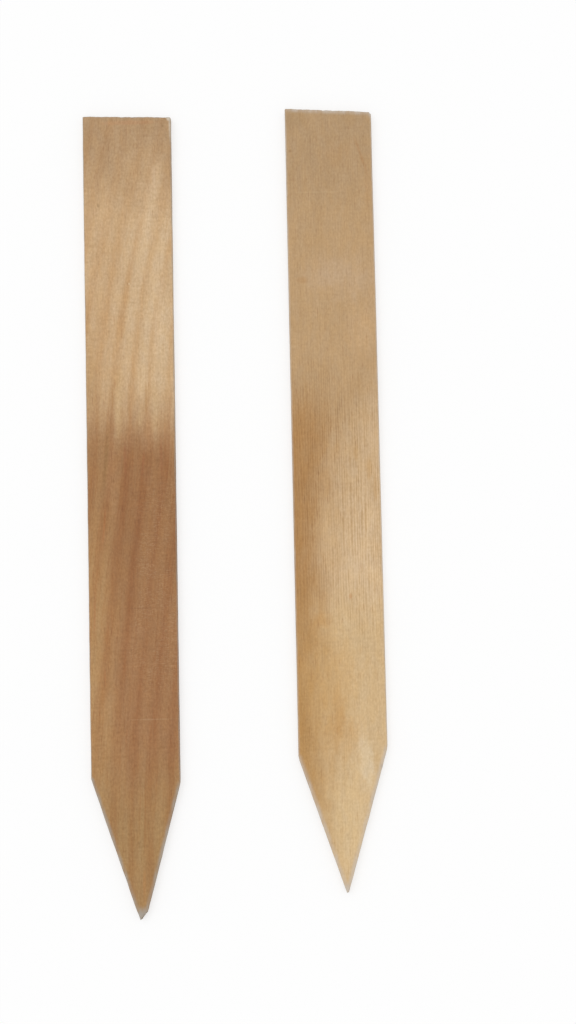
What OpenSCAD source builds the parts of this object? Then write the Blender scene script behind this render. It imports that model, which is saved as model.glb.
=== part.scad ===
// Two flat wooden label stakes for plant pots and beds, lying side by side on a table.
// Each is one planed slat: a head sawn nearly square, straight sides, and a point made by
// two unequal cuts that would meet off the centre line, with the very tip snapped off.
// Millimetres. +X is across the pair, +Y runs towards the heads, +Z is up through the slat.
// The origin is the middle of the pair, on the table.

/* [Slat] */
// Thickness of the planed slat
thickness = 2; // [1.2:0.1:4]
// Radius of the worn arrises between the faces and the sides
arris_r = 0.4; // [0.1:0.05:0.6]
// Radius of a sharp corner of a head, seen from above
head_corner_r = 0.2; // [0.1:0.1:2]
// Radius of the two shoulders, where the sides turn into the point
shoulder_r = 1.5; // [0.2:0.1:5]
// Radius left on the corners of the snapped tip
tip_corner_r = 0.3; // [0.1:0.1:0.6]

/* [Left stake] */
// Width across the head
left_head_width = 22.1; // [16:0.1:32]
// Width across the shoulders
left_shoulder_width = 21.6; // [16:0.1:32]
// Length from the middle of the head to where the point's two cuts would meet
left_length = 200; // [150:0.1:300]
// Angle by which the head's saw cut is out of square, in degrees
left_head_skew = 1.7; // [-5:0.1:5]
// Length of the point along its left side
left_point_port = 36; // [25:0.1:60]
// Length of the point along its right side
left_point_starboard = 34.6; // [25:0.1:60]
// How far the point's cuts would meet to the right of the centre line
left_point_shift = 1.4; // [-4:0.1:4]
// Wood lost from the left side of the point, measured up from where the cuts would meet
left_snap_port = 1.9; // [0.4:0.1:6]
// Wood lost from the right side of the point
left_snap_starboard = 4.1; // [0.4:0.1:6]

/* [Right stake] */
// Width across the head
right_head_width = 21.6; // [16:0.1:32]
// Width across the shoulders
right_shoulder_width = 21.7; // [16:0.1:32]
// Length from the middle of the head to where the point's two cuts would meet
right_length = 193.7; // [150:0.1:300]
// Angle by which the head's saw cut is out of square, in degrees
right_head_skew = 3.4; // [-5:0.1:5]
// Radius worn on the right corner of its head
right_worn_corner_r = 0.8; // [0.1:0.1:2]
// Length of the point along its left side
right_point_port = 33.2; // [25:0.1:60]
// Length of the point along its right side
right_point_starboard = 35.2; // [25:0.1:60]
// How far the point's cuts would meet to the right of the centre line
right_point_shift = 0.4; // [-4:0.1:4]
// Wood lost from the left side of the point, measured up from where the cuts would meet
right_snap_port = 0.7; // [0.4:0.1:6]
// Wood lost from the right side of the point
right_snap_starboard = 0.9; // [0.4:0.1:6]

/* [Layout on the table] */
// Clear space between the two stakes at their widest
gap = 28.5; // [2:0.1:60]
// How far the right head lies beyond the left one
head_step = 0.6; // [-20:0.1:20]

/* [Hidden] */
$fn = 48;
left_colour = [0.70, 0.54, 0.38];
right_colour = [0.78, 0.64, 0.48];

// A slat's outline has six corners, counter-clockwise from the head's left one. They are in
// the slat's own frame: the head's middle is at the origin and the point hangs towards -Y.
function slat_corners(
    head_width, shoulder_width, length, skew, port, starboard, shift, snap_port, snap_starboard
) =
    let (
        rise = head_width / 2 * tan(skew),
        shoulder_port = [-shoulder_width / 2, port - length],
        shoulder_starboard = [shoulder_width / 2, starboard - length],
        apex = [shift, -length]
    )
    [
        [-head_width / 2, rise],
        shoulder_port,
        apex + (shoulder_port - apex) * snap_port / port,
        apex + (shoulder_starboard - apex) * snap_starboard / starboard,
        shoulder_starboard,
        [head_width / 2, -rise]
    ];

left_corners = slat_corners(
    left_head_width, left_shoulder_width, left_length, left_head_skew, left_point_port,
    left_point_starboard, left_point_shift, left_snap_port, left_snap_starboard
);
right_corners = slat_corners(
    right_head_width, right_shoulder_width, right_length, right_head_skew, right_point_port,
    right_point_starboard, right_point_shift, right_snap_port, right_snap_starboard
);

// The radius of each corner, in the same order. Only the head's right one differs between stakes.
function corner_radii(right_corner_r) =
    [head_corner_r, shoulder_r, tip_corner_r, tip_corner_r, shoulder_r, right_corner_r];
left_radii = corner_radii(head_corner_r);
right_radii = corner_radii(right_worn_corner_r);

// The round of a worn arris has its middle this share of its radius inside both faces, so it
// meets them at a faint edge. The wear is carried past each corner of the outline.
arris_seat = 0.93;
overrun = 1;

// Rounding one corner: which way its two sides run from it, half the angle between them,
// the radius that its sides have room for, and the middle of the round.
side_share = 0.45;
function towards(from, to) = (to - from) / norm(to - from);
function before(list, i) = list[(i + len(list) - 1) % len(list)];
function after(list, i) = list[(i + 1) % len(list)];
function half_angle(c, i) = acos(towards(c[i], before(c, i)) * towards(c[i], after(c, i))) / 2;
function room(c, i) =
    side_share * min(norm(c[i] - before(c, i)), norm(c[i] - after(c, i))) * tan(half_angle(c, i));
function round_r(c, radii, i) = min(radii[i], room(c, i));
function round_middle(c, radii, i) =
    let (inwards = towards(c[i], before(c, i)) + towards(c[i], after(c, i)))
    c[i] + inwards / norm(inwards) * round_r(c, radii, i) / sin(half_angle(c, i));
function tangent_point(c, radii, i, neighbour) =
    c[i] + towards(c[i], neighbour) * round_r(c, radii, i) / tan(half_angle(c, i));

// The box round an outline with its corners rounded, as its low corner and its high one
function outline_box(c, radii) =
    let (
        middles = [for (i = [0:len(c) - 1]) round_middle(c, radii, i)],
        rounds = [for (i = [0:len(c) - 1]) round_r(c, radii, i)]
    )
    [
        [for (axis = [0, 1]) min([for (i = [0:len(c) - 1]) middles[i][axis] - rounds[i]])],
        [for (axis = [0, 1]) max([for (i = [0:len(c) - 1]) middles[i][axis] + rounds[i]])]
    ];

// The left stake's head is put down first and the right one beside it. The pair is then
// moved so that the middle of its box lies at the origin.
left_box = outline_box(left_corners, left_radii);
right_box = outline_box(right_corners, right_radii);
right_offset = [left_box[1].x + gap - right_box[0].x, head_step];
pair_low = [for (axis = [0, 1]) min(left_box[0][axis], right_box[0][axis] + right_offset[axis])];
pair_high = [for (axis = [0, 1]) max(left_box[1][axis], right_box[1][axis] + right_offset[axis])];
left_place = -(pair_low + pair_high) / 2;
right_place = left_place + right_offset;

// The slat seen from above, with its corners rounded
module rounded_outline(c, radii) {
    polygon([
        for (i = [0:len(c) - 1])
            for (neighbour = [before(c, i), after(c, i)])
                tangent_point(c, radii, i, neighbour)
    ]);
    for (i = [0:len(c) - 1])
        translate(round_middle(c, radii, i))
            circle(r = round_r(c, radii, i));
}

// What the wear takes off the lower and the upper arris along one side of the outline
module worn_arrises(from, to) {
    along = to - from;
    middle = arris_r * arris_seat;
    translate([from.x, from.y, 0])
        rotate([90, 0, atan2(along.y, along.x) + 90])
            translate([0, 0, -overrun])
                linear_extrude(norm(along) + 2 * overrun)
                    for (z = [0, thickness])
                        translate([0, z])
                            difference() {
                                square(2 * middle, center = true);
                                translate([middle, z == 0 ? middle : -middle])
                                    circle(r = arris_r);
                            }
}

// A whole slat: the rounded outline at full thickness, less the wear on every arris
module slat(c, radii) {
    difference() {
        linear_extrude(thickness)
            rounded_outline(c, radii);
        for (i = [0:len(c) - 1])
            worn_arrises(c[i], after(c, i));
    }
}

// The darker stake, with the snapped tip
module left_stake() {
    color(left_colour)
        translate(left_place)
            slat(left_corners, left_radii);
}

// The paler stake, with the sharp tip
module right_stake() {
    color(right_colour)
        translate(right_place)
            slat(right_corners, right_radii);
}

left_stake();
right_stake();
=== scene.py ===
"""Two bare wooden plant label stakes, lying side by side on a pale table.

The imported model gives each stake's outline and thickness. This add-on builds a finer slat
inside that outline, wears its arrises, tears its tip, raises its grain, and finishes it in
one of two woods. Lengths are in metres, apart from the millimetres that patterns use.
"""

import math

import bmesh
import bpy
import numpy as np
from bpy.props import FloatProperty, FloatVectorProperty, IntProperty, PointerProperty
from mathutils import Matrix, Vector


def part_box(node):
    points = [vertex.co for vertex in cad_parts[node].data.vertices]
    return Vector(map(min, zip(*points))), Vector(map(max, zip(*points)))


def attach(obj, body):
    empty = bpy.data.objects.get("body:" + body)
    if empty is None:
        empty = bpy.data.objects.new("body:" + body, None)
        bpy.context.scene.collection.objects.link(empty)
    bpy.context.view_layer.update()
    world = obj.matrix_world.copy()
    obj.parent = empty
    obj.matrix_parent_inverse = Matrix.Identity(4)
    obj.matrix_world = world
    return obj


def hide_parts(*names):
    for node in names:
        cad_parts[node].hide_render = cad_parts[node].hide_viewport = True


bl_info = {
    "name": "Plant Label Stakes",
    "version": (1, 0, 0),
    "blender": (4, 5, 0),
    "location": "View3D > Sidebar > Label Stakes",
    "description": "Two worn wooden label stakes for pots and beds, on a pale table",
    "category": "Add Mesh",
}

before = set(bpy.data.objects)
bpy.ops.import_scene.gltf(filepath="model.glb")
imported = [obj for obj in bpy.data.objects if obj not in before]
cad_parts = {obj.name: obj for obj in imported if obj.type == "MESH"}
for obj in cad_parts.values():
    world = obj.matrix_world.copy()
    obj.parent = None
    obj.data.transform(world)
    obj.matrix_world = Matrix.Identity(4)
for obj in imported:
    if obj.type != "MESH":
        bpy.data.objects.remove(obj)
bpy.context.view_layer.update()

MM = 0.001
PER_METRE = 1000.0


def tone(code):
    """A colour as it looks on screen, written as six hex digits, in the linear light of a shader."""
    shown = [int(code[i : i + 2], 16) / 255 for i in (0, 2, 4)]
    return tuple(c / 12.92 if c <= 0.04045 else ((c + 0.055) / 1.055) ** 2.4 for c in shown)


def colour(name, description, code):
    """A colour that can be changed in the sidebar."""
    return FloatVectorProperty(
        name=name, description=description, default=tone(code), subtype="COLOR", min=0, max=1
    )


def length(name, description, millimetres, most=10):
    """A length that can be changed in the sidebar."""
    return FloatProperty(
        name=name, description=description, default=millimetres * MM, min=0, max=most * MM, unit="LENGTH"
    )


def share(name, description, default, most=1):
    """A strength from none to full."""
    return FloatProperty(name=name, description=description, default=default, min=0, max=most)


def angle(name, description, degrees):
    """An angle that can be changed in the sidebar."""
    return FloatProperty(
        name=name, description=description, default=math.radians(degrees), unit="ROTATION"
    )


# Settings


class SlatSettings(bpy.types.PropertyGroup):
    """How both slats are cut up, worn and roughened"""

    column: length("Column", "Width of a mesh column across the slat", 0.16)
    row: length("Row", "Length of a mesh row along the slat", 1.1)
    finest: length("Finest row", "Size of the rows and columns at the arrises", 0.05)
    arris_wear: length("Arris wear", "Mean radius worn on the arrises", 0.3)
    uneven_wear: share("Uneven wear", "How much the wear varies along an arris", 0.8)
    fibre_relief: length("Fibre relief", "Depth between the raised fibres", 0.03)
    ring_relief: length("Ring relief", "How far the soft wood sinks between growth rings", 0.02)
    saw_marks: length("Saw marks", "Depth of the marks on the sawn ends", 0.05)
    seed: IntProperty(name="Seed", description="Which wear and fibres are drawn", default=7, min=0)


class BrownWoodSettings(bpy.types.PropertyGroup):
    """Finish of the left stake: broad growth bands under a painted sheen in its upper half, darker and
    redder in its lower half
    """

    head: colour("Head", "Dulled wood at the head", "b29270")
    # This colour and the next carry a painted sheen: a bright light's reflection on the satin face,
    # strongest along the right of the upper half
    pale: colour("Pale", "Clean wood in the upper half", "c8a782")
    palest_sheen: colour("Palest", "Wood along the right of the upper half", "d0b391")
    dark: colour("Dark", "Darker, redder wood in the middle", "9b7049")
    lower: colour("Lower", "Wood between the middle and the point", "a0754f")
    sap: colour("Sap", "Yellower wood along the left of the lower half", "b28c60")
    point: colour("Point", "Wood of the point", "a68358")
    rim_grey: colour("Weathered", "Greyed wood of arrises and of the torn tip", "a29b91")
    band: colour("Band", "What a growth band multiplies the upper wood by", "ecd7b8")
    dark_band: colour("Dark band", "What a growth band multiplies the lower wood by", "ebd1b3")
    band_strength: share("Band strength", "How strongly the growth bands show", 0.7, 2)
    band_spacing: length("Band spacing", "Distance between growth bands at the head", 4.3, 20)
    band_widening: share("Band widening", "How much wider apart the bands are near the tip", 0.05, 2)
    tear: length("Tear", "How far back fibres are torn out of the snapped tip", 0.4)
    chip: length("Chip", "How much of the head's right corner is knocked off", 0.2)
    head_grey: share("Head wear", "How much the head's edge is greyed, against the cuts", 0.15)
    grit: share("Grit", "Strength of the finest speckle of the planed face", 0.56)
    chatter: share("Chatter", "Strength of the planer's fine marks across the slat", 0.34)
    edge_grey: length("Edge wear", "How far in from the arrises the wood is greyed", 0.4)
    cut_grey: length("Cut wear", "How far in from the point's cuts the wood is greyed", 1.15)
    tip_start: length("Tip start", "How far down from the head the tip begins to grey", 195.0, 300)


class PaleWoodSettings(bpy.types.PropertyGroup):
    """Finish of the right stake: fine straight fibre, browner along its left side, with a painted sheen
    along the right of its lower half
    """

    head: colour("Head", "Dulled wood at the head", "b39471")
    upper: colour("Upper", "Wood of the upper half", "bc9b75")
    flank: colour("Flank", "Orange-brown wood along the left of the lower half", "af8453")
    low_flank: colour("Low flank", "The same, nearer the point", "b68c57")
    # This colour and the next carry a painted sheen: a bright light's reflection along the right of the
    # lower half
    pale: colour("Pale", "Pale wood along the right of the lower half", "d8bb99")
    straw_sheen: colour("Straw", "The same, nearer the point", "d2b48c")
    rim_grey: colour("Weathered", "Greyed wood of arrises and of the tip", "c4b9ac")
    line: colour("Line", "What a fine growth line multiplies the wood by", "e3d9c8")
    line_strength: share("Line strength", "How strongly the fine growth lines show", 1.0, 2)
    line_spacing: length("Line spacing", "Distance between the fine growth lines", 0.62, 5)
    tear: length("Tear", "How far back fibres are torn out of the tip", 0.12)
    chip: length("Chip", "How much of the head's right corner is knocked off", 0.4)
    head_grey: share("Head wear", "How much the head's edge is greyed, against the cuts", 1.0)
    grit: share("Grit", "Strength of the finest speckle of the planed face", 0.4)
    chatter: share("Chatter", "Strength of the planer's fine marks across the slat", 0.18)
    edge_grey: length("Edge wear", "How far in from the arrises the wood is greyed", 0.55)
    cut_grey: length("Cut wear", "How far in from the point's cuts the wood is greyed", 1.4)
    tip_start: length("Tip start", "How far down from the head the tip begins to grey", 190.8, 300)


class StageSettings(bpy.types.PropertyGroup):
    """The table, the light and the camera"""

    table: colour("Table", "Colour of the table", "fcfcfc")
    lift: share("Lift", "How much of the table's shadows the camera doesn't see", 0.6)
    sky: share("Sky", "Strength of the even light from all round", 0.7, 4)
    lamp: share("Lamp", "Strength of the soft lamp", 1.0, 10)
    distance: length("Distance", "From the camera to the table", 350.8, 5000)
    tilt: angle("Tilt", "Camera's lean from straight down", 4)
    roll: angle("Roll", "Camera's turn about its own axis", 1.23)
    aim_across: length("Aim across", "Aim to the right of the pair's middle", 13.2, 100)
    aim_down: length("Aim down", "Aim below the pair's middle", 1.6, 100)


class StakeSettings(bpy.types.PropertyGroup):
    """Everything that can be changed before the stakes are made"""

    slat: PointerProperty(type=SlatSettings)
    brown: PointerProperty(type=BrownWoodSettings)
    pale: PointerProperty(type=PaleWoodSettings)
    stage: PointerProperty(type=StageSettings)


# Node trees, written as expressions


# How far red and blue go with each step of green when a colour is made lighter or darker
RED_PER_GREEN = 0.82
BLUE_PER_GREEN = 1.3


class Field:
    """The output of a node. Numbers among them can be calculated with."""

    def __init__(self, graph, socket):
        self.graph = graph
        self.socket = socket

    def __add__(self, other):
        return self.graph.maths("ADD", self, other)

    def __sub__(self, other):
        return self.graph.maths("SUBTRACT", self, other)

    def __rsub__(self, other):
        return self.graph.maths("SUBTRACT", other, self)

    def __mul__(self, other):
        return self.graph.maths("MULTIPLY", self, other)

    def __truediv__(self, other):
        return self.graph.maths("DIVIDE", self, other)

    def __pow__(self, other):
        return self.graph.maths("POWER", self, other)

    def __neg__(self):
        return self * -1

    __radd__ = __add__
    __rmul__ = __mul__

    def clear_of(self, low):
        """This number, or low where it is less."""
        return self.graph.maths("MAXIMUM", self, low)

    def at_most(self, high):
        """This number, or high where it is more."""
        return self.graph.maths("MINIMUM", self, high)

    def size(self):
        """This number without its sign."""
        return self.graph.maths("ABSOLUTE", self)

    def rise(self, low, high):
        """0 below low, 1 above high, and a smooth step between."""
        return self.graph.node(
            "ShaderNodeMapRange",
            {"interpolation_type": "SMOOTHSTEP"},
            {"Value": self, "From Min": low, "From Max": high},
        )

    def fall(self, low, high):
        """1 below low, 0 above high, and a smooth step between."""
        return 1 - self.rise(low, high)


class Graph:
    """A node tree that is being built, of a material or of a shape."""

    def __init__(self, tree):
        self.tree = tree
        tree.nodes.clear()

    def add(self, kind, settings, values):
        """Adds a node, sets what it does, and then gives its sockets their values or links."""
        made = self.tree.nodes.new(kind)
        for name, value in settings.items():
            if name == "points":
                self._set_points(made.mapping, value)
            else:
                setattr(made, name, value)
        for name, value in values.items():
            self._feed(self._input(made, name), value)
        return made

    def node(self, kind, settings=None, values=None, output=None):
        """The same, and the result is the node's output, by name, or its first one in use."""
        made = self.add(kind, settings or {}, values or {})
        named = [s for s in made.outputs if s.enabled and output in (None, s.name)]
        return Field(self, named[0])

    def maths(self, operation, *terms):
        """One step of an expression on numbers."""
        return self.node("ShaderNodeMath", {"operation": operation}, dict(enumerate(terms)))

    def vectors(self, operation, *terms, scale=None):
        """One step of an expression on vectors."""
        values = dict(enumerate(terms))
        if scale is not None:
            values["Scale"] = scale
        return self.node("ShaderNodeVectorMath", {"operation": operation}, values)

    def vector(self, x, y, z):
        """Three numbers as one vector."""
        return self.node("ShaderNodeCombineXYZ", {}, {"X": x, "Y": y, "Z": z})

    def parts(self, vector):
        """The three numbers of a vector."""
        made = self.add("ShaderNodeSeparateXYZ", {}, {0: vector})
        return [Field(self, s) for s in made.outputs]

    def blend(self, below, above, factor, way="MIX"):
        """One colour laid over another."""
        return self.node(
            "ShaderNodeMix",
            {"data_type": "RGBA", "blend_type": way},
            {"Factor": factor, "A": below, "B": above},
        )

    def shade(self, below, factor):
        """A colour made lighter or darker by a number. The darker, the yellower."""
        more = factor - 1
        scale = self.vector(more * RED_PER_GREEN + 1, factor, more * BLUE_PER_GREEN + 1)
        return self.blend(below, scale, 1, "MULTIPLY")

    def noise(self, place, stretch, detail=2.0, offset=(0, 0, 0)):
        """Soft noise around 0.5. The stretch gives its lumps to the millimetre along X, Y and Z."""
        stretched = self.vectors("MULTIPLY_ADD", place, stretch, offset)
        return self.node("ShaderNodeTexNoise", {}, {"Vector": stretched, "Scale": 1.0, "Detail": detail})

    def attribute(self, name):
        """A number stored on the mesh, read in a material."""
        return self.node("ShaderNodeAttribute", {"attribute_name": name}, output="Fac")

    def _feed(self, socket, value):
        if isinstance(value, Field):
            self.tree.links.new(value.socket, socket)
        elif socket.type == "RGBA" and len(value) == 3:
            socket.default_value = (*value, 1)
        else:
            socket.default_value = value

    @staticmethod
    def _input(made, name):
        if isinstance(name, int):
            return made.inputs[name]
        return next(s for s in made.inputs if s.enabled and s.name == name)

    @staticmethod
    def _set_points(mapping, points):
        curve = mapping.curves[0]
        while len(curve.points) < len(points):
            curve.points.new(0.5, 0.5)
        for point, place in zip(curve.points, points):
            point.location = place
        mapping.update()


# Figure of the wood, used by the shapes and by the materials alike


# How many growth bands the left stake's middle line has crossed, as a share of them all, at
# each share of its length from the head
BAND_PATH = (
    (0.0, 0.0),
    (0.018, 0.03),
    (0.131, 0.232),
    (0.232, 0.426),
    (0.333, 0.542),
    (0.444, 0.611),
    (0.508, 0.68),
    (0.581, 0.774),
    (0.657, 0.845),
    (0.732, 0.919),
    (0.808, 0.972),
    (1.0, 1.0),
)
# How many it crosses in all, and the count in the middle of the head
BANDS_CROSSED = 5.35
FIRST_BAND = 0.5
TURN = 2 * math.pi


def stake_scale(low, high):
    """How metres turn into millimetres right of a stake's middle, down from its head, and up."""
    scale = (PER_METRE, -PER_METRE, PER_METRE)
    return scale, (-(low.x + high.x) / 2 * PER_METRE, high.y * PER_METRE, 0)


def band_count(graph, place):
    """How many growth bands of the left stake lie to the left. They lean left on the way down."""
    settings = bpy.context.scene.label_stakes.brown
    low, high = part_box("left_stake")
    across, down, up = graph.parts(place)
    way = down / ((high.y - low.y) * PER_METRE)
    crossed = graph.node("ShaderNodeFloatCurve", {"points": BAND_PATH}, {"Value": way}) * BANDS_CROSSED
    wander = graph.noise(place, (0.09, 0.016, 0.09), 2.0) - 0.5
    ripple = graph.noise(place, (0.45, 0.06, 0.45), 1.0, (9, 0, 0)) - 0.5
    spacing = settings.band_spacing * PER_METRE * (1 + way.rise(0, 0.75) * settings.band_widening)
    return (across + up * 0.9 + wander * 1.4 + ripple * 0.9) / spacing + crossed + FIRST_BAND


def broad_bands(graph, place):
    """Latewood of the left stake, 0 to 1: soft broad bands, each stronger and weaker in turn."""
    _, down, up = graph.parts(place)
    count = band_count(graph, place)
    wave = graph.maths("COSINE", count * TURN) * 0.5 + 0.5
    shown = graph.noise(graph.vector(count * 0.8, down * 0.022, up * 0.1), (1, 1, 1), 1.0, (3, 0, 0))
    return wave**1.5 * (0.66 + shown.rise(0.32, 0.62) * 0.34)


def fine_lines(graph, place):
    """Latewood of the right stake, 0 to 1: tight growth lines that run nearly straight."""
    settings = bpy.context.scene.label_stakes.pale
    across, _, up = graph.parts(place)
    wander = graph.noise(place, (0.2, 0.014, 0.2), 3.0) - 0.5
    radius = across + up * 0.35 + wander * 3.4
    wave = graph.maths("COSINE", radius * (TURN / (settings.line_spacing * PER_METRE))) * 0.5 + 0.5
    shown = 0.35 + graph.noise(place, (1.1, 0.1, 1.1), 3.0, (0, 5, 0)).rise(0.32, 0.64) * 0.6
    broken = 0.35 + graph.noise(place, (2.4, 0.42, 2.4), 2.0, (3, 0, 7)).rise(0.3, 0.65) * 0.85
    return wave * shown * broken


def strands(graph, place):
    """Bundles of fibre, long along the slat, around 0.5."""
    return graph.noise(place, (1.5, 0.06, 1.5), 3.0, (4, 1, 2))


# Shape of a slat


# Points of a solid nearer than this are one point, and its sections are rounded to this many
# decimals of a metre
SAME_POINT = 1e-6
DECIMALS = 7
# The sine of a turn that is too slight to be a corner
STRAIGHT = 1e-3
# A slat's two sides, two cuts and head are longer than this, and the rounds between them shorter
LONG_EDGE = 5 * MM
# An edge whose normal runs further along the slat than this was sawn across it
SAWN_ACROSS = 0.15
# How much each row or level grows on the one before, away from the arrises, and how many of
# the tallest levels would make up the thickness
ROW_GROWTH = 1.5
LEVEL_GROWTH = 1.7
TALLEST_LEVELS = 6


def outline_of(node):
    """Where a slat's sides run, counter-clockwise from the top of its left side, from its solid."""
    cut = bmesh.new()
    cut.from_mesh(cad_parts[node].data)
    bmesh.ops.remove_doubles(cut, verts=cut.verts, dist=SAME_POINT)
    low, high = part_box(node)
    middle = (low + high) / 2
    halved = bmesh.ops.bisect_plane(
        cut,
        geom=cut.verts[:] + cut.edges[:] + cut.faces[:],
        plane_co=middle,
        plane_no=(0, 0, 1),
    )
    crossed = [v.co for v in halved["geom_cut"] if isinstance(v, bmesh.types.BMVert)]
    found = {(round(co.x, DECIMALS), round(co.y, DECIMALS)) for co in crossed}
    cut.free()
    points = np.array(sorted(found, key=lambda p: math.atan2(p[1] - middle.y, p[0] - middle.x)))
    points = without_straight_points(points)
    steps = np.roll(points, -1, axis=0) - points
    lengths = np.hypot(*steps.T)
    leftward = points[:, 0] + steps[:, 0] / 2 < middle.x
    start = int(np.argmax(lengths * leftward))
    return np.roll(points, -start, axis=0)


def without_straight_points(points):
    """A closed outline without the points that lie on a straight stretch."""
    back = points - np.roll(points, 1, axis=0)
    on = np.roll(points, -1, axis=0) - points
    turn = np.abs(back[:, 0] * on[:, 1] - back[:, 1] * on[:, 0])
    return points[turn > STRAIGHT * np.hypot(*back.T) * np.hypot(*on.T)]


def edges_of(outline):
    """The outline as its left side, tip, right side and head, each from the head or the left."""
    lengths = np.hypot(*(np.roll(outline, -1, axis=0) - outline).T)
    longest = np.flatnonzero(lengths > LONG_EDGE)
    if len(longest) != 5:
        raise RuntimeError("a slat should have two sides, two cuts and a head")
    _, left_cut, right_cut, right_side, _ = longest
    left = outline[: left_cut + 2]
    tip = outline[left_cut + 1 : right_cut + 1]
    right = outline[right_cut : right_side + 2][::-1]
    head = np.vstack([outline[right_side + 1 :], outline[:1]])[::-1]
    return left, tip, right, head


def head_corner(outline):
    """The right corner of the head."""
    head = edges_of(outline)[3]
    corner = head[np.argmax(head[:, 0] + head[:, 1])]
    return (*corner, 0)


def along(line, shares):
    """Points at these shares of a line's length."""
    lengths = np.concatenate([[0], np.cumsum(np.hypot(*np.diff(line, axis=0).T))])
    at = np.asarray(shares) * lengths[-1]
    return np.stack([np.interp(at, lengths, line[:, k]) for k in (0, 1)], axis=-1)


def graded(whole, finest, widest, growth=ROW_GROWTH):
    """Shares from 0 to 1 whose steps are finest at both ends and widest between them."""
    steps = []
    while sum(steps) < whole / 2:
        steps.append(min(widest, finest * growth ** len(steps)))
    half = np.concatenate([[0], np.cumsum(steps)]) / sum(steps) / 2
    return np.concatenate([half, 1 - half[-2::-1]])


def patch(left, tip, right, head, across, down):
    """A sheet of points between four edges: each point blends the two pairs of opposite edges."""
    sides = [along(edge, down)[:, None] for edge in (left, right)]
    ends = [along(edge, across)[None] for edge in (head, tip)]
    s, t = np.asarray(across)[None, :, None], np.asarray(down)[:, None, None]
    corners = [ends[j][:, i] for j in (0, 1) for i in (0, -1)]
    flat = (
        (1 - s) * (1 - t) * corners[0]
        + s * (1 - t) * corners[1]
        + (1 - s) * t * corners[2]
        + s * t * corners[3]
    )
    return (1 - s) * sides[0] + s * sides[1] + (1 - t) * ends[0] + t * ends[1] - flat


def rim_of(points, outline):
    """How far points lie inside the outline, which way is inwards, and how far off sawn edges are."""
    ends = np.roll(outline, -1, axis=0)
    steps = ends - outline
    inwards = np.stack([-steps[:, 1], steps[:, 0]], axis=-1) / np.hypot(*steps.T)[:, None]
    nearest = np.full(len(points), np.inf)
    sawn = np.full(len(points), np.inf)
    facing = np.zeros((len(points), 2))
    for start, step, normal in zip(outline, steps, inwards):
        reach = np.clip((points - start) @ step / (step @ step), 0, 1)
        gap = np.hypot(*(points - start - reach[:, None] * step).T)
        closer = gap < nearest - 1e-9
        nearest[closer] = gap[closer]
        facing[closer] = normal
        if abs(normal[1]) > SAWN_ACROSS:
            sawn = np.minimum(sawn, gap)
    return nearest, facing, sawn


def slat_blank(name, node, outline, settings):
    """A closed slat with sharp arrises, cut into fine rows, that fills a node's solid."""
    left, tip, right, head = edges_of(outline)
    low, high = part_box(node)
    thickness = high.z - low.z
    across = graded(high.x - low.x, settings.finest, settings.column)
    down = graded(high.y - low.y, settings.finest, settings.row)
    levels = graded(thickness, settings.finest, thickness / TALLEST_LEVELS, LEVEL_GROWTH)
    sheet = patch(left, tip, right, head, across, down)
    rows, columns = len(down), len(across)
    flat = sheet.reshape(-1, 2)
    top = np.column_stack([flat, np.full(len(flat), high.z)])
    under = np.column_stack([flat, np.full(len(flat), low.z)])
    number = np.arange(rows * columns).reshape(rows, columns)
    ring = np.concatenate([number[:-1, 0], number[-1, :-1], number[:0:-1, -1], number[0, :0:-1]])
    wall = [
        np.column_stack([flat[ring], np.full(len(ring), low.z + level * thickness)])
        for level in levels[1:-1]
    ]
    vertices = np.vstack([top, under, *wall])
    corner = [number[:-1, :-1], number[1:, :-1], number[1:, 1:], number[:-1, 1:]]
    top_faces = np.stack(corner, axis=-1).reshape(-1, 4)
    under_faces = top_faces[:, ::-1] + len(flat)
    belts = [ring + len(flat)]
    belts += [2 * len(flat) + k * len(ring) + np.arange(len(ring)) for k in range(len(wall))]
    belts += [ring]
    walls = [
        np.stack([lower, np.roll(lower, -1), np.roll(upper, -1), upper], axis=-1)
        for lower, upper in zip(belts, belts[1:])
    ]
    faces = np.vstack([top_faces, under_faces, *walls])
    mesh = bpy.data.meshes.new(name)
    mesh.from_pydata(vertices.tolist(), [], faces.tolist())
    rim, facing, sawn = rim_of(vertices[:, :2], outline)
    from_tip = np.repeat((1 - down) * (high.y - low.y), columns)
    gaps = np.concatenate([from_tip, from_tip, *[from_tip[ring]] * len(wall)])
    store(mesh, "rim", "FLOAT", rim)
    store(mesh, "sawn", "FLOAT", sawn)
    store(mesh, "from_tip", "FLOAT", gaps)
    store(mesh, "inward", "FLOAT_VECTOR", np.column_stack([facing, np.zeros(len(facing))]))
    mesh.shade_smooth()
    return mesh


def store(mesh, name, kind, values):
    """Keeps a value for each vertex on the mesh."""
    attribute = mesh.attributes.new(name, kind, "POINT")
    key = "vector" if kind == "FLOAT_VECTOR" else "value"
    attribute.data.foreach_set(key, np.asarray(values, np.float32).ravel())


# Shape trees


# How far each seed moves the patterns of wear, in millimetres
SEED_STEP = 0.37
# How far up from the tip fibre is torn, and how far in from a face saw marks reach full depth
TORN_LENGTH = 3 * MM
MARK_FADE = 0.3 * MM
# Closer than this counts as on the outline, or in the slat's middle plane
ON_EDGE = 0.02 * MM
ON_MIDDLE = 0.01 * MM


def shape_tree(name, inputs):
    """A new shape tree with its named inputs, and the graph and fields to build it with."""
    tree = bpy.data.node_groups.new(name, "GeometryNodeTree")
    tree.is_modifier = True
    tree.interface.new_socket("Geometry", in_out="INPUT", socket_type="NodeSocketGeometry")
    for title, kind in inputs:
        tree.interface.new_socket(title, in_out="INPUT", socket_type=kind)
    tree.interface.new_socket("Geometry", in_out="OUTPUT", socket_type="NodeSocketGeometry")
    graph = Graph(tree)
    entry = graph.add("NodeGroupInput", {}, {})
    fields = {s.name: Field(graph, s) for s in entry.outputs if s.name}
    return graph, fields


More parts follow.
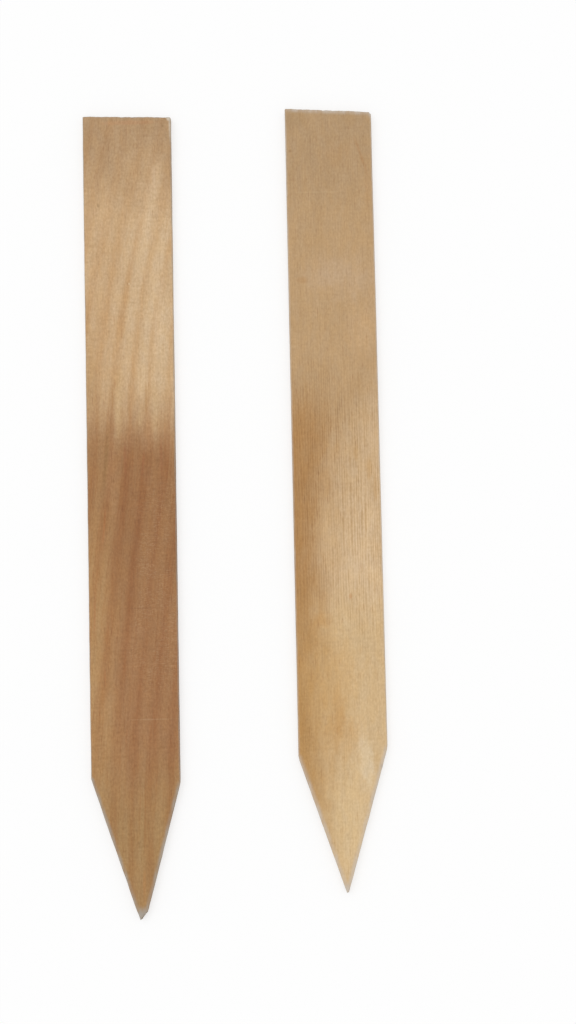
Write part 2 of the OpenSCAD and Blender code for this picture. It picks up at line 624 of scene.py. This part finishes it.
def close_tree(graph, geometry, material):
    """Ends a shape tree: instances made real, material set."""
    real = graph.node("GeometryNodeRealizeInstances", {}, {"Geometry": geometry})
    dressed = graph.node("GeometryNodeSetMaterial", {}, {"Geometry": real, "Material": material})
    graph.add("NodeGroupOutput", {}, {"Geometry": dressed})
    return graph.tree


def named(graph, name, kind="FLOAT"):
    """A value stored on the mesh, read in a shape tree."""
    return graph.node("GeometryNodeInputNamedAttribute", {"data_type": kind}, {"Name": name})


def worn_slat_tree(name, node, figure):
    """Turns a blank into a worn slat: arrises, chipped corner, torn tip, saw marks and grain."""
    graph, given = shape_tree(
        name,
        [
            ("Arris Wear", "NodeSocketFloat"),
            ("Uneven Wear", "NodeSocketFloat"),
            ("Fibre Relief", "NodeSocketFloat"),
            ("Ring Relief", "NodeSocketFloat"),
            ("Saw Marks", "NodeSocketFloat"),
            ("Tear", "NodeSocketFloat"),
            ("Chip", "NodeSocketFloat"),
            ("Chipped Corner", "NodeSocketVector"),
            ("Seed", "NodeSocketInt"),
            ("Material", "NodeSocketMaterial"),
        ],
    )
    low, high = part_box(node)
    scale, shift = stake_scale(low, high)
    position = graph.node("GeometryNodeInputPosition")
    place = graph.vectors("MULTIPLY_ADD", position, scale, shift)
    seeded = graph.vectors("ADD", place, graph.vector(0, 0, given["Seed"] * SEED_STEP))
    across, down, up = graph.parts(place)
    height = graph.parts(position)[2]
    to_face = height.at_most(high.z - height)
    rim = named(graph, "rim")
    inward = named(graph, "inward", "FLOAT_VECTOR")

    # Near an arris, points are drawn in to a round, whose radius varies along the arris
    uneven = graph.noise(seeded, (0.5, 0.16, 0.5), 3.0).rise(0.3, 0.75) - 0.4
    radius = given["Arris Wear"] * (1 + uneven * given["Uneven Wear"] * 2)
    aside = (radius - rim).clear_of(0)
    over = (radius - to_face).clear_of(0)
    reach = (aside * aside + over * over) ** 0.5
    excess = 1 - (radius / reach.clear_of(1e-7)).at_most(1)
    upper = (height - (low.z + high.z) / 2).rise(-ON_MIDDLE, ON_MIDDLE)
    sideways = graph.vectors("SCALE", inward, scale=aside * excess)
    worn = graph.vectors("ADD", sideways, graph.vector(0, 0, over * excess * (1 - upper * 2)))

    # The chip bites in from one corner of the head, by an uneven amount
    flat = graph.vectors("MULTIPLY", position, (1, 1, 0))
    near = (given["Chip"] - graph.vectors("DISTANCE", flat, given["Chipped Corner"])).clear_of(0)
    bite = near * graph.noise(seeded, (1.4, 1.4, 1.4), 2.0, (5, 0, 0))
    chipped = graph.vectors("SCALE", (-0.7, -0.7, 0), scale=bite)

    # At the tip, bundles of fibre are missing, each by its own length
    bundle = graph.noise(seeded, (3.2, 0.02, 2.4), 2.0).rise(0.3, 0.7)
    near_tip = named(graph, "from_tip").fall(0, TORN_LENGTH)
    torn = graph.vector(0, given["Tear"] * bundle * near_tip, 0)

    # The saw left fine steps across the thickness of the head and of the point's cuts
    teeth = graph.noise(graph.vector(across + down * 0.4, up, 0), (3.4, 0.6, 1), 2.0)
    on_wall = rim.fall(0, ON_EDGE) * to_face.rise(ON_EDGE, MARK_FADE)
    crosswise = graph.parts(inward)[1].size().rise(0.1, 0.3)
    sawn = graph.vectors("SCALE", inward, scale=given["Saw Marks"] * teeth * on_wall * crosswise)

    # Soft wood has sunk between the fibres and between the growth rings
    soft = 1 - figure(graph, place)
    relief = given["Fibre Relief"] * strands(graph, seeded) + given["Ring Relief"] * soft
    normal = graph.node("GeometryNodeInputNormal")
    sunk = graph.vectors("SCALE", normal, scale=-relief)

    slat = given["Geometry"]
    for offset in (worn, chipped, torn, sawn, sunk):
        slat = graph.node("GeometryNodeSetPosition", {}, {"Geometry": slat, "Offset": offset})
    return close_tree(graph, slat, given["Material"])


def run_tree(target, tree, values):
    """Gives an object the shape that a tree makes of it, as a plain mesh."""
    modifier = target.modifiers.new(tree.name, "NODES")
    modifier.node_group = tree
    for item in tree.interface.items_tree:
        if item.in_out == "INPUT" and item.name in values:
            modifier[item.identifier] = values[item.name]
    depsgraph = bpy.context.evaluated_depsgraph_get()
    shaped = bpy.data.meshes.new_from_object(target.evaluated_get(depsgraph))
    target.modifiers.remove(modifier)
    blank = target.data
    target.data = shaped
    shaped.name = target.name
    bpy.data.meshes.remove(blank)
    if not shaped.polygons:
        raise RuntimeError(f"{target.name}: the shape tree made nothing")


def put_in_scene(name, mesh):
    """A new object at the origin."""
    made = bpy.data.objects.new(name, mesh)
    bpy.context.scene.collection.objects.link(made)
    return made


def make_slat(name, node, material, figure, finish):
    """One finished slat, which stands for its node."""
    settings = bpy.context.scene.label_stakes.slat
    outline = outline_of(node)
    slat = put_in_scene(name, slat_blank(name, node, outline, settings))
    run_tree(
        slat,
        worn_slat_tree(f"{name}_wear", node, figure),
        {
            "Arris Wear": settings.arris_wear,
            "Uneven Wear": settings.uneven_wear,
            "Fibre Relief": settings.fibre_relief,
            "Ring Relief": settings.ring_relief,
            "Saw Marks": settings.saw_marks,
            "Tear": finish.tear,
            "Chip": finish.chip,
            "Chipped Corner": head_corner(outline),
            "Seed": settings.seed,
            "Material": material,
        },
    )
    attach(slat, "root")
    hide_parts(node)


# Materials


# Small marks by colour. Each has its middle in millimetres to the right of the stake's middle
# and down from its head, its half width and half length, how far it leans to the right for
# each millimetre down, and its strength.
BROWN_MARKS = {
    "c08a62": [(1.0, 1.9, 7.5, 0.7, 0, 0.3)],
    "cfae89": [(-8.6, 42.0, 2.6, 7.0, 0, 0.4), (-5.0, 27.0, 4.5, 9.0, 0, 0.4)],
    "b58f63": [(-9.8, 65.0, 2.2, 10.0, 0, 0.5), (10.3, 43.0, 1.6, 7.0, 0, 0.3)],
    "dcc2a4": [(5.6, 22.5, 1.8, 13.0, -0.207, 0.45), (7.2, 52.0, 1.4, 14.0, -0.08, 0.3)],
    "b9793f": [(1.8, 189.9, 0.45, 5.0, 0, 0.25)],
    "7f5639": [(2.1, 123.1, 5.0, 0.16, 0, 0.3)],
    "a9693a": [
        (-6.9, 103.7, 0.35, 5, -0.1, 0.35),
        (-9.4, 124.6, 0.3, 7, -0.03, 0.3),
        (-7.1, 139.5, 0.3, 2.6, 0, 0.3),
    ],
    "cba27a": [(4.4, 79.5, 2.4, 6.0, 0, 0.2), (-4.6, 92.0, 2.0, 11.0, 0, 0.14)],
    "8a6340": [(-9.4, 84.0, 1.8, 5.5, 0, 0.22)],
    "d4b78f": [
        (-3.0, 73.0, 1.3, 11.0, -0.02, 0.38),
        (2.4, 76.5, 0.8, 4.0, 0, 0.25),
        (6.0, 76.0, 1.0, 8.0, 0, 0.26),
    ],
    "8a6a40": [(-6.2, 86.5, 0.6, 8.5, -0.08, 0.35)],
    "a67945": [
        (3.9, 72.0, 0.35, 5.5, 0, 0.35),
        (-0.4, 73, 0.4, 6, 0, 0.3),
        (-4.4, 71.5, 0.3, 3.5, 0, 0.35),
    ],
    "985a38": [
        (-1.5, 86.0, 0.45, 4.5, 0, 0.3),
        (2.9, 88, 0.4, 4, -0.1, 0.3),
        (7.4, 85.5, 0.4, 5, 0, 0.25),
    ],
    "7a6038": [(-7.3, 22.9, 0.4, 0.6, 0, 0.35), (9.0, 2.9, 0.25, 0.35, 0, 0.4)],
    "e6cfae": [(0.1, 42.8, 0.22, 0.35, 0, 0.7), (4.6, 150.1, 6.6, 0.2, 0, 0.09)],
    "dbd0c2": [(10.4, 0.9, 0.6, 1.0, 0.4, 0.7), (10.9, 3.0, 0.45, 4.5, 0, 0.5)],
}
PALE_MARKS = {
    "a58660": [(-9.0, 2.5, 4.0, 3.5, 0, 0.35)],
    "c8a57e": [(7.5, 57.0, 5.0, 8.0, 0, 0.5)],
    "dec39a": [(0.5, 178.0, 7.0, 13.0, 0, 0.4)],
    "d6b68e": [(-1.8, 106.0, 4.0, 9.0, 0, 0.4)],
    "c49a62": [(-1.8, 144.0, 6.0, 15.0, 0, 0.45)],
    "cbb199": [(4.0, 43.4, 7.5, 6.4, 0.2, 0.26), (-2.5, 42.4, 6.0, 5.0, -0.2, 0.18)],
    "b38a5c": [
        (1.9, 11.9, 4.6, 3.2, 0, 0.2),
        (9.6, 20.0, 1.2, 8.0, 0, 0.3),
        (-7.4, 43.7, 1.6, 1.1, 0, 0.5),
    ],
    "b98d52": [
        (4.9, 87.0, 0.7, 2.4, 0, 0.35),
        (8.0, 91.5, 0.8, 3.2, 0, 0.35),
        (9.4, 96.0, 0.5, 5.0, 0, 0.3),
    ],
    "bd8f57": [
        (-4.4, 127.8, 3.0, 2.1, 0, 0.45),
        (-0.8, 150.6, 1.8, 6.5, 0, 0.4),
        (0.3, 156.0, 6.0, 5.5, 0, 0.32),
    ],
    "a8794a": [(7.9, 12.2, 0.5, 4.8, 0.31, 0.38)],
    "b8793f": [(2.7, 122.2, 0.45, 0.9, 0, 0.4)],
    "84603a": [(-9.6, 10.9, 0.4, 0.45, 0, 0.4), (9.3, 163.4, 0.4, 0.5, 0, 0.6)],
    "dcc4a2": [(-3.8, 21.5, 7.6, 0.26, 0, 0.11)],
    # A painted sheen: the pale patch near the right of the shoulders
    "e2d0b6": [(5.6, 162.0, 2.1, 8.5, 0.06, 0.48)],
}


# Tones laid over the woods: two hues, pores, dirt and pits of sawn ends, and the dark wood's veins
WARM_HUE, COOL_HUE = tone("fdfaee"), tone("fafaf5")
PORE = tone("c49f7e")
END_GRAIN = tone("b9a48c")
PIT = tone("6f573f")
VEIN = tone("c2a07e")
# How far each pattern moves the wood's brightness, and the brightness that they move it from
FIBRE_SHADE, STREAK_SHADE, FLECK_SHADE, CLOUD_SHADE = 0.16, 0.16, 0.14, 0.2
EVEN_SHADE = 0.995
# How far below its start a tip's greying is full, in millimetres
TIP_FADE = 2.5


def surface(name, node):
    """A new material's graph, and the place on the stake, in millimetres, that patterns read."""
    material = bpy.data.materials.new(name)
    material.use_nodes = True
    graph = Graph(material.node_tree)
    scale, shift = stake_scale(*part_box(node))
    position = graph.node("ShaderNodeTexCoord", output="Object")
    placing = {"Vector": position, "Location": shift, "Scale": scale}
    return material, graph, graph.node("ShaderNodeMapping", {}, placing)


def add_marks(graph, place, wood, marks):
    """Lays small stains, flecks and scratches over the wood's colour, on the upper face only."""
    across, down, up = graph.parts(place)
    on_face = up.rise(1.2, 1.7)
    rough = graph.noise(place, (0.8, 0.5, 0.8), 3.0, (2, 7, 5)) - 0.5
    for code, spots in marks.items():
        for middle, from_head, half_width, half_length, lean, strength in spots:
            further = down - from_head
            aside = (across - middle - further * lean) / half_width
            lengthwise = further / half_length
            reach = (aside * aside + lengthwise * lengthwise) ** 0.5 + rough * 0.9
            wood = graph.blend(wood, tone(code), reach.fall(0.25, 1.25) * on_face * strength)
    return wood


def finish_wood(graph, place, wood, finish, latewood):
    """Fibre, pores, greyed arrises and sawn ends over a wood's colour, then its shader."""
    down = graph.parts(place)[1]
    bundles = strands(graph, place)
    streaks = graph.noise(place, (2.8, 0.22, 2.8), 2.0, (1, 3, 8))
    flecks = graph.noise(place, (4.5, 0.9, 4.5), 1.0, (6, 2, 9))
    clouds = graph.noise(place, (0.22, 0.1, 0.22), 3.0, (6, 2, 4))
    planed = graph.noise(place, (0.13, 0.07, 0.13), 1.0, (1, 1, 6)).rise(0.36, 0.66)
    chatter = (graph.noise(place, (0.38, 1.6, 0.38), 3.0, (2, 8, 1)) - 0.5) * planed + 0.5
    grit = graph.noise(place, (2.1, 1.4, 2.1), 3.0, (9, 4, 2))
    patterns = (
        (bundles, FIBRE_SHADE),
        (streaks, STREAK_SHADE),
        (flecks, FLECK_SHADE),
        (clouds, CLOUD_SHADE),
        (grit, finish.grit),
        (chatter, finish.chatter),
    )
    shade = EVEN_SHADE + sum((pattern - 0.5) * weight for pattern, weight in patterns)
    wood = graph.shade(wood, shade)
    hue = graph.noise(place, (0.6, 0.25, 0.6), 3.0, (5, 5, 1)).rise(0.3, 0.7)
    wood = graph.blend(wood, graph.blend(WARM_HUE, COOL_HUE, hue), 1, "MULTIPLY")

    # Pores: short dark dashes where the fibre is cut open, darkest in the latewood
    pores = graph.noise(place, (5.5, 0.3, 5.5), 1.0, (7, 7, 7)).rise(0.62, 0.8)
    wood = graph.blend(wood, PORE, pores * (0.38 + latewood * 0.2), "MULTIPLY")

    # Sawn ends drink in dirt. Grey is laid along the arrises, more so along the cuts, and over the tip
    facing = graph.parts(graph.node("ShaderNodeTexCoord", output="Normal"))
    end_grain = facing[1].size().rise(0.1, 0.75)
    side = facing[2].size().fall(0.25, 0.8)
    wood = graph.blend(wood, END_GRAIN, end_grain * 0.5 + side * 0.12, "MULTIPLY")
    pits = graph.noise(place, (5, 5, 5), 1.0, (4, 8, 3)).rise(0.55, 0.75)
    wood = graph.blend(wood, PIT, pits * end_grain * 0.4)
    ragged = graph.noise(place, (0.9, 0.25, 0.9), 3.0, (3, 9, 2)).rise(0.3, 0.7)
    arris = graph.attribute("rim").fall(finish.edge_grey * 0.1, finish.edge_grey) * (0.3 + ragged * 0.4)
    # Along the head's edge, only a share of the grey laid along the cuts
    dirt = finish.head_grey + down.rise(4, 8) * (1 - finish.head_grey)
    cut_greying = graph.attribute("sawn").fall(finish.cut_grey * 0.07, finish.cut_grey)
    cut_greying = cut_greying * (0.35 + ragged * 0.5) * dirt
    tip_start = finish.tip_start * PER_METRE
    tip = (down + ragged).rise(tip_start, tip_start + TIP_FADE) * 0.9
    greyed = arris.clear_of(cut_greying).clear_of(tip) * (1 - side * 0.65)
    wood = graph.blend(wood, finish.rim_grey[:], greyed)

    rough = 0.6 + (bundles - 0.5) * 0.2 - latewood * 0.06 + end_grain * 0.2
    height = bundles * 0.5 + streaks * 0.4 + flecks * 0.3 - pores * 0.8 + latewood * 0.25
    bump = graph.node("ShaderNodeBump", {}, {"Strength": 0.35, "Distance": 0.04 * MM, "Height": height})
    shader = graph.node(
        "ShaderNodeBsdfPrincipled",
        {},
        {
            "Base Color": wood,
            "Roughness": rough.clear_of(0.3).at_most(0.9),
            "Specular IOR Level": 0.3,
            "Normal": bump,
        },
    )
    graph.add("ShaderNodeOutputMaterial", {}, {"Surface": shader})


def brown_wood(settings):
    """Wood of the left stake: pale and banded under a painted sheen, then darker and redder where the
    sheen stops, then tan at the point.
    """
    material, graph, place = surface("brown_wood", "left_stake")
    across, down, up = graph.parts(place)
    band = broad_bands(graph, place)
    drift = graph.noise(place, (0.16, 0.06, 0.16), 3.0, (1, 2, 3)) - 0.5
    streaky = graph.noise(place, (0.7, 0.08, 0.7), 2.0, (8, 3, 3)) - 0.5
    # Below the head, a painted sheen pales the wood, and pales it most along the right
    wood = graph.blend(settings.head[:], settings.pale[:], (down + drift * 16).rise(3, 30))
    palest_sheen = (across + drift * 8).rise(-7, 7) * down.rise(20, 34) * down.fall(64, 84)
    wood = graph.blend(wood, settings.palest_sheen[:], palest_sheen)
    # Where the painted sheen ends, the darker, redder wood without it shows
    below_sheen = (down + drift * 5 + streaky * 8 - across * 0.1).rise(66, 88)
    brown = graph.blend(settings.dark[:], settings.lower[:], (down + drift * 16).rise(105, 135))
    wood = graph.blend(wood, brown, below_sheen)
    sappy = (across + drift * 5).fall(-10.5, -1) * (0.45 + down.rise(95, 122) * 0.55) * below_sheen
    wood = graph.blend(wood, settings.sap[:], sappy)
    wood = graph.blend(wood, settings.point[:], (down + drift * 12).rise(152, 178))
    stain = graph.blend(settings.band[:], settings.dark_band[:], below_sheen)
    following = graph.vector(band_count(graph, place), down * 0.012, up * 0.06)
    streak = graph.noise(following, (3.1, 3, 3), 2.0, (0, 6, 0))
    thread = graph.noise(following, (9, 4, 9), 2.0, (5, 0, 2))
    stained = streak.rise(0.45, 0.75) * 0.15 + thread.rise(0.5, 0.75) * (0.15 + below_sheen * 0.22)
    wood = graph.blend(wood, stain, stained, "MULTIPLY")
    # Pale streaks along the bands, in the painted sheen's colour, only where the sheen lies
    paler = streak.fall(0.25, 0.5) * 0.26 + thread.fall(0.28, 0.46) * 0.22
    wood = graph.blend(wood, settings.palest_sheen[:], paler * down.rise(12, 30) * (1 - below_sheen))
    fibrous = graph.noise(place, (1.9, 0.13, 1.9), 2.0, (4, 4, 9)).rise(0.25, 0.7)
    at_change = down.rise(66, 76) * down.fall(80, 92)
    growing = 0.5 + down.rise(15, 60) * 0.5 - at_change * 0.18 - down.rise(96, 120) * 0.1
    strength = band * (0.65 + fibrous * 0.45) * growing * settings.band_strength
    wood = graph.blend(wood, stain, strength.at_most(1), "MULTIPLY")

    # Fine pale veins across the dark wood where its surface is rubbed, mostly to the right
    vein = (graph.noise(place, (0.55, 1.8, 0.55), 3.0, (3, 3, 3)) - 0.5).size().fall(0.004, 0.04)
    rubbed = (across + drift * 20).rise(-4, 4) * down.rise(84, 102) * down.fall(132, 156)
    rubbed = rubbed * graph.noise(place, (0.3, 0.16, 0.3), 2.0, (2, 5, 1)).rise(0.28, 0.56)
    wood = graph.blend(wood, VEIN, vein * rubbed * 0.24)
    wood = add_marks(graph, place, wood, BROWN_MARKS)
    finish_wood(graph, place, wood, settings, band)
    return material


def pale_wood(settings):
    """Wood of the right stake: finely lined, with a painted sheen that makes it paler to the right, and
    orange-brown to the left.
    """
    material, graph, place = surface("pale_wood", "right_stake")
    across, down, _ = graph.parts(place)
    line = fine_lines(graph, place)
    drift = graph.noise(place, (0.12, 0.05, 0.12), 3.0, (4, 2, 3)) - 0.5
    streaky = graph.noise(place, (0.7, 0.12, 0.7), 2.0, (8, 3, 3)) - 0.5
    wood = graph.blend(settings.head[:], settings.upper[:], (down + drift * 14).rise(8, 34))
    # Below a slanting edge, higher on the right, a painted sheen pales the wood
    step = (down + across * 1.3 + streaky * 8).rise(75, 88)
    sheen_slope = (down + across * 1.7 + drift * 12).rise(82, 128)
    pale = graph.blend(settings.pale[:], settings.straw_sheen[:], (down + drift * 16).rise(111, 133))
    wood = graph.blend(wood, pale, step * 0.4 + sheen_slope * 0.6)
    flank = graph.blend(settings.flank[:], settings.low_flank[:], (down + drift * 16).rise(110, 145))
    patchy = graph.noise(place, (0.3, 0.16, 0.3), 3.0, (2, 6, 1)) - 0.5
    beside = across + 3.4 + down.rise(80, 112) * 1.6 + patchy * 5 + streaky * 4
    beside = beside.fall(-6, 7) * (down + streaky * 8).rise(66, 82)
    wood = graph.blend(wood, flank, beside)
    lined = (down + drift * 20).rise(60, 84) * (down + drift * 20).fall(112, 140)
    shown = (0.22 + lined * 0.78) * (1 - beside * 0.25) * settings.line_strength
    wood = graph.blend(wood, settings.line[:], (line * shown).at_most(1), "MULTIPLY")
    wood = add_marks(graph, place, wood, PALE_MARKS)
    finish_wood(graph, place, wood, settings, line)
    return material


# Operators


class STAKES_OT_left(bpy.types.Operator):
    """Make the left stake: darker, broadly banded, with a snapped tip"""

    bl_idname = "stakes.left"
    bl_label = "Left Stake"

    def execute(self, context):
        finish = context.scene.label_stakes.brown
        make_slat("left_slat", "left_stake", brown_wood(finish), broad_bands, finish)
        return {"FINISHED"}


class STAKES_OT_right(bpy.types.Operator):
    """Make the right stake: paler, finely lined, with a sharp tip"""

    bl_idname = "stakes.right"
    bl_label = "Right Stake"

    def execute(self, context):
        finish = context.scene.label_stakes.pale
        make_slat("right_slat", "right_stake", pale_wood(finish), fine_lines, finish)
        return {"FINISHED"}


class STAKES_OT_stage(bpy.types.Operator):
    """Set the table, the soft light and the camera"""

    bl_idname = "stakes.stage"
    bl_label = "Table, Light and Camera"

    def execute(self, context):
        settings = context.scene.label_stakes.stage
        context.scene.view_settings.view_transform = "Standard"
        lay_table(settings)
        light_evenly(settings)
        aim_camera(settings)
        return {"FINISHED"}


# Stage


# Half the table's width, and how far it lies under the stakes
TABLE_HALF = 4.0
TABLE_SINK = 0.02 * MM
# Where the lamp shines from, and how wide it looks from the table
LAMP_FROM = (-0.2, 0.25, 1)
LAMP_SPREAD = math.radians(70)
# The camera's lens in millimetres, and the nearest that it sees
LENS = 50
NEAREST_SEEN = 0.01
WHITE = (1, 1, 1)


def lay_table(settings):
    """A wide pale table just under the stakes. It looks white and keeps their soft shadow."""
    mesh = bpy.data.meshes.new("table")
    turns = ((-1, -1), (1, -1), (1, 1), (-1, 1))
    corners = [(x * TABLE_HALF, y * TABLE_HALF, -TABLE_SINK) for x, y in turns]
    mesh.from_pydata(corners, [], [(0, 1, 2, 3)])
    table = put_in_scene("table", mesh)
    material = bpy.data.materials.new("table_top")
    material.use_nodes = True
    graph = Graph(material.node_tree)
    lit = graph.node("ShaderNodeBsdfDiffuse", {}, {"Color": settings.table[:]})
    white = graph.node("ShaderNodeEmission", {}, {"Color": WHITE})
    factor = seen_white(graph) * settings.lift
    top = graph.node("ShaderNodeMixShader", {}, {0: factor, 1: lit, 2: white})
    graph.add("ShaderNodeOutputMaterial", {}, {"Surface": top})
    mesh.materials.append(material)


def seen_white(graph):
    """1 for what the camera sees, straight, in gloss or through glass, and 0 for what lights."""
    rays = ("Is Camera Ray", "Is Glossy Ray", "Is Transmission Ray")
    camera, glossy, through = (graph.node("ShaderNodeLightPath", output=ray) for ray in rays)
    return camera.clear_of(glossy).clear_of(through)


def light_evenly(settings):
    """Even light from all round and one soft lamp from a little above the left."""
    world = bpy.context.scene.world or bpy.data.worlds.new("room")
    bpy.context.scene.world = world
    world.use_nodes = True
    graph = Graph(world.node_tree)
    strength = settings.sky + seen_white(graph) * (1 - settings.sky)
    glow = graph.node("ShaderNodeBackground", {}, {"Color": WHITE, "Strength": strength})
    graph.add("ShaderNodeOutputWorld", {}, {"Surface": glow})
    lamp = bpy.data.lights.new("soft_lamp", "SUN")
    lamp.energy = settings.lamp
    lamp.angle = LAMP_SPREAD
    hung = put_in_scene("soft_lamp", lamp)
    hung.rotation_euler = Vector(LAMP_FROM).to_track_quat("Z", "Y").to_euler()


def aim_camera(settings):
    """Looks down on the pair from just below it, as the stakes lie in the picture."""
    aim = Vector((settings.aim_across, -settings.aim_down, 0))
    back = Vector((0, -math.sin(settings.tilt), math.cos(settings.tilt)))
    right = Vector((1, 0, 0))
    up = back.cross(right)
    turned_right = right * math.cos(settings.roll) - up * math.sin(settings.roll)
    turned_up = up * math.cos(settings.roll) + right * math.sin(settings.roll)
    lens = bpy.data.cameras.new("camera")
    lens.lens = LENS
    lens.clip_start = NEAREST_SEEN
    camera = put_in_scene("camera", lens)
    turn = Matrix((turned_right, turned_up, back)).transposed()
    camera.matrix_world = Matrix.Translation(aim + back * settings.distance) @ turn.to_4x4()
    bpy.context.scene.camera = camera


# Sidebar


class STAKES_PT_sidebar(bpy.types.Panel):
    """Sizes, colours and steps of the label stakes"""

    bl_idname = "STAKES_PT_sidebar"
    bl_label = "Label Stakes"
    bl_space_type = "VIEW_3D"
    bl_region_type = "UI"
    bl_category = "Label Stakes"

    def draw(self, context):
        settings = context.scene.label_stakes
        for group in (settings.slat, settings.brown, settings.pale, settings.stage):
            box = self.layout.box()
            for name in group.__annotations__:
                box.prop(group, name)
        for step in STEPS:
            self.layout.operator(step.bl_idname)


GROUPS = (SlatSettings, BrownWoodSettings, PaleWoodSettings, StageSettings, StakeSettings)
STEPS = (STAKES_OT_left, STAKES_OT_right, STAKES_OT_stage)


def register():
    for group in (*GROUPS, *STEPS, STAKES_PT_sidebar):
        bpy.utils.register_class(group)
    bpy.types.Scene.label_stakes = PointerProperty(type=StakeSettings)


def unregister():
    del bpy.types.Scene.label_stakes
    for group in reversed((*GROUPS, *STEPS, STAKES_PT_sidebar)):
        bpy.utils.unregister_class(group)


def main():
    """Makes everything in order."""
    register()
    bpy.ops.stakes.left()
    bpy.ops.stakes.right()
    bpy.ops.stakes.stage()


if __name__ == "__main__":
    main()
